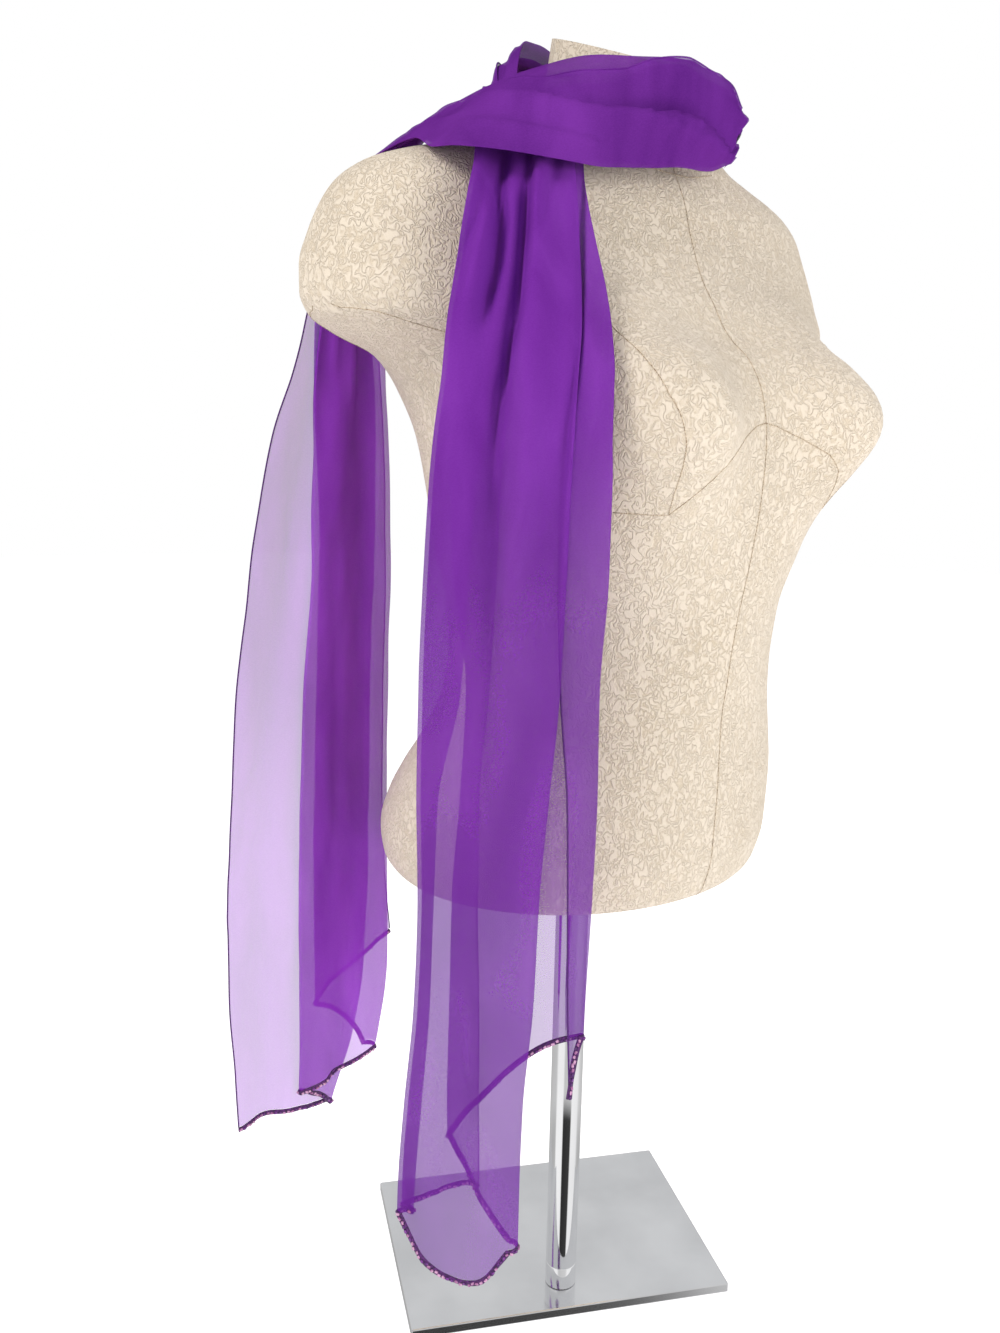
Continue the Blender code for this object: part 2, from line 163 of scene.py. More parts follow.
FRONT_FOLDS = (
    "flap_edge", "right_fold", "inner_left", "inner_right",
    "left_fold", "strip_edge", "left_again", "free_edge",
)
FRONT_TAIL = Table(
    ("height", "near", "far", "layer") + FRONT_FOLDS,
    (
        (864, 143, 114, 3.0, -15, -8, -61, -14, -69, -46, -67, -42),
        (846, 156, 128, 3.2, -15, -7, -61, -12, -69, -44, -67, -40),
        (828, 173, 138, 3.5, -16, -4, -61, -10, -70, -44, -68, -38),
        (803, 182, 146, 3.6, -14, 2, -63, -8, -73, -46, -71, -37),
        (778, 188, 161, 4.0, -13, 8, -64, -6, -76, -49, -74, -38),
        (753, 191, 180, 4.0, -12, 12, -66, -5, -79, -52, -77, -40),
        (728, 192, 193, 4.0, -12, 14, -69, -6, -81, -55, -79, -42),
        (698, 192, 196, 4.0, -13, 14, -74, -7, -85, -58, -83, -45),
        (668, 191, 194, 4.0, -14, 15, -76, -8, -88, -61, -86, -48),
        (618, 189, 192, 4.0, -14, 15, -75, -9, -91, -65, -89, -50),
        (548, 187, 190, 4.0, -11, 12, -67, -11, -94, -69, -92, -53),
        (478, 185, 188, 4.0, -5, 13, -70, -16, -95, -82, -93, -58),
        (418, 184, 186, 4.2, -3, 12, -74, -20, -94, -84, -92, -58),
        (348, 183, 185, 4.4, -1, 10, -75, -22, -96, -86, -94, -56),
        (278, 182, 184, 4.6, 2, 9, -76, -27, -102, -91, -100, -55),
        (218, 181, 183, 4.8, 3, 9, -74, -28, -106, -95, -104, -54),
        (148, 180, 182, 5.0, 3, 9, -72, -28, -107, -97, -105, -54),
    ),
)
FRONT_RIDGES = Table(
    ("height", "left_ridge", "left_rise", "middle_ridge", "middle_rise"),
    (
        (864, -62, 1, -32, 1),
        (838, -63, 3, -32, 4),
        (798, -67, 6, -28, 6),
        (748, -71, 6, -30, 6),
        (678, -77, 6, -36, 7),
        (578, -82, 4, -40, 4),
        (428, -84, 3, -45, 3),
        (278, -88, 3, -48, 4),
        (148, -90, 4, -50, 5),
    ),
)
# Creases: (rise, width to its left, width to its right, the line it follows as (across, height))
FRONT_CREASES = (
    (-7.0, 4, 4, ((-57, 960), (-60, 848), (-63, 823), (-71, 795), (-76, 760))),
    (-14.0, 5, 3, ((-51, 960), (-53, 845), (-54, 829), (-52, 812), (-53, 789), (-57, 768), (-62, 740))),
    (-11.0, 3, 2, ((-36, 960), (-38, 834), (-38, 811), (-39, 790), (-41, 761), (-44, 737), (-48, 714), (-53, 680))),
    (8.0, 2, 13, ((-32, 960), (-35, 834), (-35, 811), (-36, 790), (-38, 761), (-41, 737), (-45, 714), (-48, 690))),
    (-5.0, 3, 2, ((-46, 730), (-51, 690), (-50, 662), (-48, 632), (-50, 600), (-53, 540))),
    (4.5, 3, 12, ((-44, 718), (-48, 690), (-47, 662), (-45, 632), (-47, 600), (-50, 540), (-49, 470))),
    (-4.5, 3, 3, ((-20, 940), (-24, 850), (-27, 826), (-31, 800))),
    (-3.5, 2.5, 2, ((-8, 940), (-8, 812), (-6, 778), (-7, 744), (-10, 708), (-12, 684), (-14, 640))),
    (4.0, 2, 8, ((-4, 940), (-5, 812), (-3, 778), (-4, 744), (-7, 708), (-9, 684), (-11, 648), (-12, 600), (-11, 546))),
    (1.8, 5, 3, ((-62, 760), (-66, 700), (-64, 630), (-60, 570))),
    (1.5, 6, 4, ((-26, 640), (-30, 560), (-27, 480), (-32, 400))),
    (1.4, 3, 6, ((-60, 420), (-54, 370), (-58, 310), (-52, 250))),
    (-1.4, 4, 4, ((-80, 350), (-84, 300), (-90, 250))),
    (1.6, 3, 3, ((-92, 232), (-80, 214), (-62, 208), (-50, 216))),
    (1.5, 2.5, 4, ((-75, 292), (-73, 257), (-65, 241), (-49, 219), (-35, 199), (-28, 180))),
    (1.1, 2.5, 2.5, ((-44, 300), (-58, 289), (-69, 278), (-74, 262))),
    (-1.2, 3, 3, ((-88, 262), (-80, 240), (-70, 226), (-60, 232))),
    (1.0, 2, 3, ((-40, 270), (-48, 250), (-44, 232))),
)
BACK_FOLDS = ("outer_edge", "first_fold", "left_fold", "right_fold", "hidden_fold", "inner_edge")
BACK_TAIL = Table(
    ("height", "near", "far", "layer") + BACK_FOLDS,
    (
        (866, 56, 48, 3.6, 143, 112, 134, 103, 134, 101),
        (854, 70, 64, 3.8, 147, 112, 138, 103, 138, 101),
        (828, 94, 88, 3.8, 155, 112, 145, 103, 145, 101),
        (798, 104, 99, 3.8, 160, 111, 150, 102, 149, 100),
        (768, 106, 104, 4.0, 166, 110, 154, 101, 152, 99),
        (733, 105, 105, 4.0, 176, 109, 158, 100, 152, 98),
        (692, 104, 105, 4.0, 192, 108, 158, 98, 152, 96),
        (638, 103, 105, 4.0, 205, 109, 163, 97, 153, 95),
        (578, 102, 105, 4.0, 215, 112, 167, 98, 155, 96),
        (518, 102, 104, 4.0, 225, 114, 174, 99, 158, 97),
        (443, 101, 104, 4.2, 231, 116, 178, 101, 160, 99),
        (368, 101, 103, 4.4, 236, 118, 181, 101, 162, 97),
        (288, 100, 103, 4.6, 237, 123, 182, 101, 162, 90),
        (228, 100, 102, 4.8, 234, 134, 183, 110, 162, 88),
        (178, 100, 102, 5.0, 232, 150, 184, 126, 162, 88),
    ),
)
BACK_RIDGES = Table(
    ("height", "left_ridge", "left_rise", "middle_ridge", "middle_rise"),
    (
        (866, 116, 0, 144, 0),
        (828, 116, 3, 144, 3),
        (768, 118, 6, 146, 6),
        (678, 120, 6, 160, 7),
        (578, 124, 5, 185, 6),
        (428, 130, 4, 205, 6),
        (298, 140, 4, 210, 7),
        (178, 150, 5, 208, 8),
    ),
)
BACK_CREASES = (
    (-4.0, 4, 4, ((138, 880), (140, 820), (142, 770), (146, 720))),
    (-3.5, 3, 4, ((128, 880), (128, 820), (128, 760), (131, 690))),
    (3.0, 3, 6, ((158, 740), (163, 690), (172, 640), (180, 570))),
    (2.6, 5, 3, ((224, 436), (216, 447), (196, 470), (178, 493))),
    (2.6, 3, 5, ((228, 400), (221, 421), (205, 465), (191, 510), (186, 540))),
    (2.4, 3, 6, ((235, 338), (229, 355), (214, 392), (197, 420), (190, 450))),
    (-2.0, 4, 4, ((232, 380), (215, 408), (196, 446))),
    (1.8, 4, 4, ((230, 318), (222, 290), (226, 240))),
    (2.0, 5, 3, ((175, 704), (177, 650), (178, 601), (182, 540))),
    (1.5, 4, 5, ((150, 600), (146, 500), (150, 400), (158, 320))),
    (1.4, 3, 5, ((118, 560), (122, 450), (120, 340))),
    (1.6, 3, 4, ((200, 330), (206, 280), (198, 220))),
)
FRONT = {
    "turn": 45.0, "table": FRONT_TAIL, "folds": FRONT_FOLDS,
    "levels": (1, 0, 1, 5, 4, 3, 2), "pitch": 0.62,
    "hem": (286, 329, 255, 182, 204, 206, 205, 225), "sag": (4, 14, -4, -34, 1, 1, 4),
    "ridges": FRONT_RIDGES, "creases": FRONT_CREASES, "seed": 3,
}
BACK = {
    "turn": 180.0, "table": BACK_TAIL, "folds": BACK_FOLDS, "levels": (2, 1, 0, 3, 4), "pitch": 0.8,
    "hem": (186, 179, 201, 217, 263, 304), "sag": (3, 2, -3, 6, 4),
    "ridges": BACK_RIDGES, "creases": BACK_CREASES, "seed": 8,
}
RIDGE_WIDTH = 10.0
RUN_STEPS = 22
FOLD_STEPS = 8
RIPPLE_WAVES = 9
NECK_LAYER = 1.1

STRETCH = ("along", "low_x", "low_y", "low_z", "high_x", "high_y", "high_z", "bulge")
NECK_FRONT = Table(
    STRETCH,
    (
        (0, 34, -78, 866, 62, -70, 915, 5),
        (13, 4, -90, 859, 28, -84, 921, 6),
        (26, -24, -96, 857, -14, -88, 923, 8),
        (39, -58, -98, 852, -48, -80, 921, 9),
        (52, -104, -98, 847, -76, -64, 919, 10),
        (65, -148, -88, 849, -92, -41, 914, 8),
        (75, -176, -63, 852, -100, -18, 910, 5),
        (80, -173, -42, 855, -103, -2, 906, 4),
        (84, -168, -20, 864, -105, 12, 901, 3),
        (91, -155, 24, 867, -106, 36, 891, 3),
        (96, -148, 60, 867, -103, 68, 879, 3),
        (100, -146, 100, 856, -101, 104, 861, 3),
    ),
)
NECK_BACK = Table(
    STRETCH,
    (
        (0, -134, -42, 872, -86, -60, 882, 2),
        (12, -118, -12, 875, -80, -36, 893, 2),
        (25, -92, 22, 884, -74, -4, 912, 3),
        (38, -70, 50, 888, -43, 28, 952, 5),
        (51, -26, 72, 887, -10, 50, 962, 5),
        (63, 30, 66, 885, 26, 48, 948, 5),
        (74, 76, 38, 890, 62, 24, 934, 5),
        (85, 88, -6, 890, 76, -16, 932, 5),
        (94, 72, -56, 882, 80, -44, 926, 5),
        (100, 36, -77, 867, 64, -68, 915, 5),
    ),
)
STRETCH_HEART = np.array((-20.0, -24.0, 836.0))
# Where the folds of each neck stretch lie across it, 0 at its lower edge and 1 at its upper one
NECK_FOLD_NAMES = ("edge_a", "fold_a", "fold_b", "fold_c", "fold_d", "edge_b")
NECK_FRONT_FOLDS = Table(
    ("along",) + NECK_FOLD_NAMES,
    (
        (0, 0.90, 0.02, 0.98, 0.05, 0.80, 0.12),
        (10, 0.96, 0.00, 1.00, 0.04, 0.88, 0.12),
        (26, 0.93, 0.00, 1.00, 0.03, 0.90, 0.10),
        (36, 0.86, 0.00, 0.99, 0.03, 0.84, 0.10),
        (44, 0.75, 0.00, 0.98, 0.04, 0.70, 0.12),
        (52, 0.70, 0.00, 0.98, 0.04, 0.62, 0.14),
        (60, 0.68, 0.00, 0.98, 0.05, 0.60, 0.14),
        (67, 0.76, 0.00, 0.98, 0.05, 0.70, 0.12),
        (80, 0.84, 0.00, 0.98, 0.05, 0.78, 0.12),
        (100, 0.90, 0.02, 0.98, 0.06, 0.84, 0.14),
    ),
)
NECK_BACK_FOLDS = Table(
    ("along",) + NECK_FOLD_NAMES,
    (
        (0, 0.80, 0.03, 0.97, 0.08, 0.80, 0.20),
        (30, 0.72, 0.00, 1.00, 0.06, 0.78, 0.16),
        (51, 0.66, 0.00, 1.00, 0.04, 0.86, 0.14),
        (75, 0.80, 0.00, 1.00, 0.05, 0.84, 0.12),
        (100, 0.90, 0.02, 0.98, 0.05, 0.80, 0.14),
    ),
)
# Pleats that run along a neck stretch: rise, width below, width above, then (along, across) places
NECK_FRONT_PLEATS = (
    (7.5, 0.18, 0.016, ((0, 0.12), (5, 0.16), (15, 0.24), (28, 0.32), (50, 0.36), (65, 0.50), (78, 0.58))),
    (3.4, 0.10, 0.016, ((0, 0.07), (5, 0.10), (15, 0.16), (28, 0.21), (40, 0.30), (48, 0.34))),
    (3.6, 0.12, 0.018, (
        (18, 0.97), (26, 0.94), (36, 0.86), (44, 0.74), (52, 0.70), (60, 0.67), (67, 0.75), (78, 0.8),
    )),
    (3.0, 0.08, 0.02, ((42, 0.02), (50, 0.12), (60, 0.18), (72, 0.26), (80, 0.3))),
    (2.2, 0.06, 0.10, ((0, 0.30), (8, 0.42), (20, 0.52), (36, 0.55), (48, 0.50), (60, 0.58))),
    (2.6, 0.10, 0.025, ((0, 0.62), (4, 0.70), (9, 0.82), (14, 0.92), (20, 0.98))),
    (6.0, 0.12, 0.05, ((0, 0.60), (4, 0.61), (8, 0.66), (14, 0.74))),
    (2.8, 0.05, 0.02, ((0, 0.20), (4, 0.26), (10, 0.33), (18, 0.40))),
    (-7.5, 0.07, 0.24, ((1, 0.30), (8, 0.34), (18, 0.40), (28, 0.44), (40, 0.46), (52, 0.47))),
    (2.0, 0.04, 0.02, ((70, 0.34), (82, 0.40), (92, 0.34), (100, 0.38))),
    (2.6, 0.05, 0.02, ((72, 0.66), (84, 0.70), (94, 0.66), (100, 0.70))),
)
NECK_BACK_PLEATS = (
    (4.6, 0.12, 0.02, ((0, 0.24), (30, 0.22), (60, 0.16), (85, 0.22), (100, 0.14))),
    (4.2, 0.12, 0.02, ((0, 0.50), (26, 0.44), (52, 0.48), (78, 0.40), (100, 0.42))),
    (3.4, 0.09, 0.02, ((8, 0.72), (34, 0.70), (56, 0.76), (80, 0.68), (100, 0.66))),
    (2.4, 0.05, 0.02, ((24, 0.86), (44, 0.90), (64, 0.86), (90, 0.90))),
    (5.5, 0.10, 0.05, ((88, 0.50), (94, 0.56), (100, 0.60))),
    (-2.4, 0.06, 0.06, ((10, 0.34), (40, 0.32), (70, 0.28), (94, 0.32))),
)

# Stitched seams of the cover, as (x, z) seen from the front; mirrored for the other side
CENTRE_SEAM = (
    (0, 866), (1, 840), (0, 790), (1, 740), (0, 704),
    (0, 640), (-1, 560), (0, 480), (0, 400), (0, 384),
)
CUP_SEAM = (
    (-107, 760), (-104, 742), (-102, 719), (-97, 700), (-91, 683),
    (-84, 665), (-78, 650), (-88, 650), (-104, 651),
)
UNDER_SEAM = ((0, 705), (-10, 703), (-28, 696), (-48, 686), (-60, 676), (-68, 665), (-78, 650))
NECK_SEAM = ((-40, 866), (-22, 863), (-5, 862), (12, 862), (25, 864), (42, 868))
STUMP_SEAM = ((-224, 770), (-219, 766), (-210, 764), (-192, 758), (-176, 753), (-160, 746))


# ---------------------------------------------------------------- shapes
def finish_mesh(name, bm, material, smooth=True):
    """Make an object, untransformed, from a bmesh in millimetres."""
    bmesh.ops.scale(bm, vec=(MM, MM, MM), verts=bm.verts)
    mesh = bpy.data.meshes.new(name)
    bm.to_mesh(mesh)
    bm.free()
    for face in mesh.polygons:
        face.use_smooth = smooth
    mesh.materials.append(material)
    piece = bpy.data.objects.new(name, mesh)
    scene.collection.objects.link(piece)
    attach(piece, "root")
    return piece


def grid_mesh(surface):
    """A bmesh grid whose points are those of an array."""
    rows, across = surface.shape[:2]
    bm = bmesh.new()
    bmesh.ops.create_grid(bm, x_segments=across - 1, y_segments=rows - 1, size=0.5)
    for vert in bm.verts:
        column = round((vert.co.x + 0.5) * (across - 1))
        row = round((vert.co.y + 0.5) * (rows - 1))
        vert.co = surface[row, column]
    return bm


def from_face(turn, across, outward, height):
    """Turn a place on a hanging face into x, y, z."""
    angle = math.radians(turn)
    x = across * math.cos(angle) - outward * math.sin(angle)
    y = -across * math.sin(angle) - outward * math.cos(angle)
    return np.stack([x, y, height], axis=-1)


def stations(fold_count):
    """The steps along a folded section: the runs between folds, and the turn at each fold."""
    found = []
    runs = fold_count - 1
    for run in range(runs):
        first = 0 if run == 0 else 1
        last = RUN_STEPS if run == runs - 1 else RUN_STEPS - 1
        found += [("run", run, step / RUN_STEPS) for step in range(first, last + 1)]
        if run < runs - 1:
            found += [("turn", run, step / FOLD_STEPS) for step in range(FOLD_STEPS + 1)]
    return found


def folded(station, edges, levels, layer):
    """Across position and depth of one station of a folded section."""
    kind, run, fraction = station
    start, end = edges[run], edges[run + 1]
    side = np.sign(end - start)
    radius_after = 0.0
    if run + 1 < len(levels):
        radius_after = abs(levels[run + 1] - levels[run]) * layer / 2
    if kind == "turn":
        angle = math.pi * (fraction - 0.5)
        middle = (levels[run] + levels[run + 1]) / 2
        half = (levels[run + 1] - levels[run]) / 2
        return end - side * radius_after * (1 - math.cos(angle)), (middle + half * math.sin(angle)) * layer
    radius_before = 0.0
    if run > 0:
        radius_before = abs(levels[run] - levels[run - 1]) * layer / 2
    begin = start + side * radius_before
    return begin + (end - side * radius_after - begin) * fraction, levels[run] * layer


def hem_height(station, tail):
    """Height of the cloth's end at one station."""
    kind, run, fraction = station
    hem, sag = tail["hem"], tail["sag"]
    if kind == "turn":
        return hem[run + 1]
    return hem[run] + (hem[run + 1] - hem[run]) * fraction + 4 * sag[run] * fraction * (1 - fraction)


def crease_rise(across, height, crease):
    """How far a crease lifts the cloth at each place; it fades out at both ends of its line."""
    rise, left, rightward, line = crease
    best = np.full(np.shape(across), 1e9)
    result = np.zeros(np.shape(across))
    count = len(line) - 1
    for i, ((x0, z0), (x1, z1)) in enumerate(zip(line[:-1], line[1:])):
        dx, dz = x1 - x0, z1 - z0
        length = math.hypot(dx, dz)
        t = np.clip(((across - x0) * dx + (height - z0) * dz) / length**2, 0, 1)
        ox, oz = across - x0 - t * dx, height - z0 - t * dz
        distance = np.hypot(ox, oz)
        side = np.sign(ox * -dz + oz * dx) * (1 if dz < 0 else -1)
        width = np.where(side > 0, rightward, left)
        along = (i + t) / count
        fade = np.clip(along / 0.22, 0, 1) * np.clip((1 - along) / 0.22, 0, 1)
        fade = fade * fade * (3 - 2 * fade)
        value = rise * fade * np.exp(-((distance / width) ** 2))
        result = np.where(distance < best, value, result)
        best = np.minimum(best, distance)
    return result


def ripple(path, height, seed):
    """Fine uneven waves that run down the cloth."""
    chance = np.random.default_rng(seed)
    total = 0.0
    for _ in range(RIPPLE_WAVES):
        wave = chance.uniform(13, 44)
        lean = chance.uniform(-0.10, 0.10)
        wander = chance.uniform(3, 9)
        drift = chance.uniform(90, 210)
        phase = chance.uniform(0, 2 * math.pi, 3)
        bend = wander * np.sin(height / drift * 2 * math.pi + phase[0])
        swell = 0.55 + 0.45 * np.sin(height / (drift * 1.7) * 2 * math.pi + phase[1])
        angle = (path + lean * height + bend) / wave * 2 * math.pi + phase[2]
        total = total + wave / 44 * 0.55 * swell * np.sin(angle)
    return total


def tail_line(station, tail, heights, path):
    """The points of one station of a tail at the given heights."""
    table = tail["table"]
    edges = [table.read(name, heights) for name in tail["folds"]]
    across, depth = folded(station, edges, tail["levels"], table.read("layer", heights) * tail["pitch"])
    lowest, highest = np.min(edges, axis=0), np.max(edges, axis=0)
    share = (across - lowest) / (highest - lowest)
    near = table.read("near", heights)
    stand = near + (table.read("far", heights) - near) * share
    rise = 0.0
    for ridge in ("left", "middle"):
        offset = (across - tail["ridges"].read(ridge + "_ridge", heights)) / RIDGE_WIDTH
        rise = rise + tail["ridges"].read(ridge + "_rise", heights) * np.exp(-(offset**2))
    for crease in tail["creases"]:
        rise = rise + crease_rise(across, heights, crease)
    rise = rise + ripple(path, heights, tail["seed"])
    return from_face(tail["turn"], across, stand + depth + rise, heights)


def path_length(station, tail):
    """About how far along the cloth's width a station lies, in millimetres."""
    kind, run, fraction = station
    edges = [float(tail["table"].read(name, np.array([500.0]))[0]) for name in tail["folds"]]
    lengths = [abs(b - a) for a, b in zip(edges[:-1], edges[1:])]
    if kind == "turn":
        return sum(lengths[: run + 1])
    return sum(lengths[:run]) + lengths[run] * fraction


def tail_surface(tail):
    """The surface of a hanging tail, from its top down to its hem."""
    lines = []
    upper = np.arange(864, 402, -5.0)
    for station in stations(len(tail["folds"])):
        lower = np.linspace(400, hem_height(station, tail), 46)
        heights = np.concatenate([upper, lower])
        lines.append(tail_line(station, tail, heights, path_length(station, tail)))
    return np.stack(lines, axis=1)


def hem_line(tail, drop):
    """The line of the cloth's end, lowered by drop."""
    points = []
    for station in stations(len(tail["folds"])):
        height = np.array([hem_height(station, tail) - drop])
        points.append(tail_line(station, tail, height, path_length(station, tail))[0])
    return np.array(points)


def pleat_rise(along, across, pleat):
    """How far a lengthwise pleat lifts a neck stretch."""
    rise, below, over, places = pleat
    line = Table(("along", "across"), places)
    middle = line.read("across", along)
    offset = across - middle
    width = np.where(offset < 0, below, over)
    first, last = line.at[0], line.at[-1]
    fade = 1.0
    if first > 0:
        fade = fade * np.clip((along - first) / 9, 0, 1)
    if last < 100:
        fade = fade * np.clip((last - along) / 9, 0, 1)
    return rise * fade * np.exp(-((offset / width) ** 2))


def stretch_surface(table, folds, pleats, seed):
    """The surface of a neck stretch: a strip folded along its length and laid in pleats."""
    along = np.linspace(0, 100, 141)
    low = np.stack([table.read(name, along) for name in STRETCH[1:4]], axis=-1)
    high = np.stack([table.read(name, along) for name in STRETCH[4:7]], axis=-1)
    bulge = table.read("bulge", along)
    outward = (low + high) / 2 - STRETCH_HEART
    outward /= np.linalg.norm(outward, axis=-1, keepdims=True)
    edges = [folds.read(name, along) for name in NECK_FOLD_NAMES]
    width = np.linalg.norm(high - low, axis=-1)
    columns = []
    levels = (4, 3, 2, 1, 0)
    for station in stations(len(NECK_FOLD_NAMES)):
        across, depth = folded(station, [edge * width for edge in edges], levels, NECK_LAYER)
        across = across / width
        rise = bulge * 4 * np.clip(across, 0, 1) * np.clip(1 - across, 0, 1)
        for pleat in pleats:
            rise = rise + pleat_rise(along, across, pleat)
        rise = rise + 0.35 * ripple(across * 70, along * 4, seed)
        rise = rise + depth - NECK_LAYER
        columns.append(low + (high - low) * across[:, None] + outward * rise[:, None])
    return np.stack(columns, axis=1)


def tube(points, half_up, half_side, sides=8, reference=(0, 0, 1)):
    """A closed bar with an oval section that follows a line of points."""
    points = np.asarray(points, float)
    direction = np.gradient(points, axis=0)
    direction /= np.linalg.norm(direction, axis=1, keepdims=True)
    reference = np.asarray(reference, float)
    upward = reference - direction * (direction @ reference)[:, None]
    upward /= np.linalg.norm(upward, axis=1, keepdims=True)
    sideways = np.cross(direction, upward)
    angle = np.linspace(0, 2 * math.pi, sides + 1)
    ring = upward[:, None] * (np.cos(angle) * half_up)[None, :, None]
    ring = ring + sideways[:, None] * (np.sin(angle) * half_side)[None, :, None]
    bm = grid_mesh(points[:, None] + ring)
    bmesh.ops.remove_doubles(bm, verts=bm.verts, dist=1e-4)
    bmesh.ops.holes_fill(bm, edges=[edge for edge in bm.edges if edge.is_boundary])
    bmesh.ops.recalc_face_normals(bm, faces=bm.faces)
    return bm


def join_into(target, source):
    """Copy one bmesh into another."""
    mesh = bpy.data.meshes.new("part")
    source.to_mesh(mesh)
    source.free()
    target.from_mesh(mesh)
    bpy.data.meshes.remove(mesh)


# ---------------------------------------------------------------- materials
def new_material(name):
    material = bpy.data.materials.new(name)
    material.use_nodes = True
    tree = material.node_tree
    return material, tree.nodes, tree.links, tree.nodes["Principled BSDF"]


def noise(nodes, links, vector, scale, detail=2.0, distortion=0.0, rough=0.5):
    made = nodes.new("ShaderNodeTexNoise")
    made.inputs["Scale"].default_value = scale
    made.inputs["Detail"].default_value = detail
    made.inputs["Distortion"].default_value = distortion
    made.inputs["Roughness"].default_value = rough
    links.new(vector, made.inputs["Vector"])
    return made.outputs["Fac"]


def ramp(nodes, links, value, stops):
    made = nodes.new("ShaderNodeValToRGB")
    while len(made.color_ramp.elements) < len(stops):
        made.color_ramp.elements.new(0.5)
    for element, (position, colour) in zip(made.color_ramp.elements, stops):
        element.position = position
        element.color = (*colour, 1.0) if len(colour) == 3 else (*(colour * 3), 1.0)
    links.new(value, made.inputs["Fac"])
    return made.outputs["Color"]


def math_node(nodes, links, operation, a, b=0.0, c=None):
    made = nodes.new("ShaderNodeMath")
    made.operation = operation
    for socket, value in zip(made.inputs, (a, b, c)):
        if value is None:
            continue
        if isinstance(value, (int, float)):
            socket.default_value = value
        else:
            links.new(value, socket)
    return made.outputs[0]


def stretched(nodes, links, vector, scale):
    made = nodes.new("ShaderNodeMapping")
    made.inputs["Scale"].default_value = scale
    links.new(vector, made.inputs["Vector"])
    return made.outputs["Vector"]


def bump(nodes, links, height, strength, distance):
    made = nodes.new("ShaderNodeBump")
    made.inputs["Strength"].default_value = strength
    made.inputs["Distance"].default_value = distance
    links.new(height, made.inputs["Height"])
    return made.outputs["Normal"]


# The heights in metres between which the front tail becomes denser
GATHER_FROM, GATHER_TO = 0.56, 0.76


def chiffon_material(name, dark, light, alpha_low, alpha_high):
    """Sheer crepe chiffon. It is denser where it is gathered, higher up."""
    material, nodes, links, shader = new_material(name)
    place = nodes.new("ShaderNodeTexCoord").outputs["Object"]
    cloud = noise(nodes, links, stretched(nodes, links, place, (1, 1, 0.35)), 26, 3, 0.4)
    thread = noise(nodes, links, stretched(nodes, links, place, (1, 1, 2.2)), 900, 1)
    mixed = math_node(nodes, links, "MULTIPLY_ADD", thread, 0.35, cloud)
    colour = ramp(nodes, links, mixed, ((0.42, dark), (0.92, light)))
    links.new(colour, shader.inputs["Base Color"])
    links.new(bump(nodes, links, thread, 0.25, 0.0004), shader.inputs["Normal"])
    shader.inputs["Roughness"].default_value = 0.62
    shader.inputs["Specular IOR Level"].default_value = 0.0
    if alpha_low == alpha_high:
        shader.inputs["Alpha"].default_value = alpha_low
    else:
        parts = nodes.new("ShaderNodeSeparateXYZ")
        links.new(place, parts.inputs[0])
        density = nodes.new("ShaderNodeMapRange")
        density.interpolation_type = "SMOOTHSTEP"
        density.inputs["From Min"].default_value = GATHER_FROM
        density.inputs["From Max"].default_value = GATHER_TO
        density.inputs["To Min"].default_value = alpha_low
        density.inputs["To Max"].default_value = alpha_high
        links.new(parts.outputs["Z"], density.inputs["Value"])
        links.new(density.outputs["Result"], shader.inputs["Alpha"])
    return material


PURPLE_DARK, PURPLE_LIGHT = (0.160, 0.022, 0.310), (0.235, 0.042, 0.430)
front_chiffon = chiffon_material("chiffon_front_tail", PURPLE_DARK, PURPLE_LIGHT, 0.61, 0.80)
# The back tail's chiffon is a lighter copy of the same cloth: painted light, brightening the tail that faces away from
# the key light.
back_chiffon_painted_light = chiffon_material("chiffon_back_tail_painted_light", (0.27, 0.030, 0.50), (0.38, 0.060, 0.66), 0.60, 0.60)
# The neck stretches' chiffon is a darker copy of the same cloth: painted shade for the deep, shaded folds of the band.
neck_chiffon_painted_shade = chiffon_material("chiffon_neck_painted_shade", (0.115, 0.017, 0.225), (0.205, 0.036, 0.365), 0.78, 0.78)

hem_thread, nodes, links, shader = new_material("rolled_hem")
place_h = nodes.new("ShaderNodeTexCoord").outputs["Object"]
twist = noise(nodes, links, place_h, 1400, 1)
colour = ramp(nodes, links, twist, ((0.35, (0.055, 0.010, 0.105)), (0.7, (0.115, 0.022, 0.21))))
links.new(colour, shader.inputs["Base Color"])
links.new(bump(nodes, links, twist, 0.6, 0.0004), shader.inputs["Normal"])
shader.inputs["Roughness"].default_value = 0.7

bead_dark, nodes, links, shader = new_material("bead_thread_band")
place_b = nodes.new("ShaderNodeTexCoord").outputs["Object"]
stitch = noise(nodes, links, place_b, 700, 2)
colour = ramp(nodes, links, stitch, ((0.38, (0.035, 0.006, 0.06)), (0.66, (0.13, 0.022, 0.19))))
links.new(colour, shader.inputs["Base Color"])
links.new(bump(nodes, links, stitch, 0.8, 0.0006), shader.inputs["Normal"])
shader.inputs["Roughness"].default_value = 0.5


def bead_material(name, dark, light, roughness):
    material, nodes, links, shader = new_material(name)
    place = nodes.new("ShaderNodeTexCoord").outputs["Object"]
    mixed = noise(nodes, links, place, 320, 0)
    links.new(ramp(nodes, links, mixed, ((0.40, dark), (0.62, light))), shader.inputs["Base Color"])
    shader.inputs["Roughness"].default_value = roughness
    shader.inputs["Coat Weight"].default_value = 0.5
    return material


bead_pink = bead_material("bead_pink", (0.36, 0.12, 0.30), (0.66, 0.36, 0.56), 0.18)
bead_plum = bead_material("bead_plum", (0.07, 0.012, 0.12), (0.22, 0.05, 0.30), 0.15)

